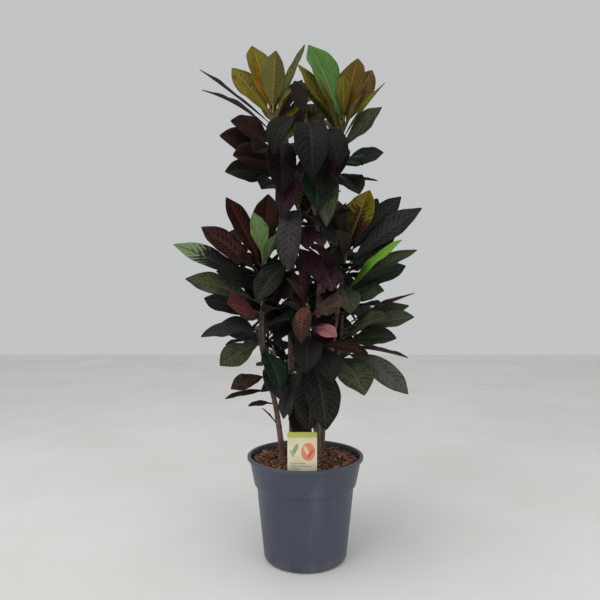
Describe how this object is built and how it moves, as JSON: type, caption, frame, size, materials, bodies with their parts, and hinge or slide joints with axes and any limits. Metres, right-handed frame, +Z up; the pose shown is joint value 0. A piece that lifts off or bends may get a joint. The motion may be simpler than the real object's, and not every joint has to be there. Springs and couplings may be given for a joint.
{
  "type": "potted croton",
  "caption": "Leafy croton with broad leathery leaves on branching stems, rooted in bark compost in a round tapered nursery pot with a plant label.",
  "frame": {"origin": "centre of the pot's flat underside, which stands on the floor", "axes": "+Z up along the pot's axis and the height of the plant, -Y towards the front, where the label stands, +X to the right as seen from the front"},
  "size_m": [0.4839, 0.4016, 1.051],
  "materials": {
    "pot_plastic": "blue-grey moulded plastic, satin",
    "bark_compost": "moist reddish brown bark and coir, rough",
    "croton_leaf": "leathery leaf, dark purple-green with a soft gloss, lighter midrib",
    "label_card": "glossy printed plastic in cream, yellow-green and coral"
  },
  "bodies": {
    "root": {"pot": "pot_plastic", "soil": "bark_compost", "plant_label": "label_card", "croton_tall_left": "croton_leaf", "croton_tall_right": "croton_leaf", "croton_left": "croton_leaf", "croton_right": "croton_leaf"}
  },
  "joints": []
}
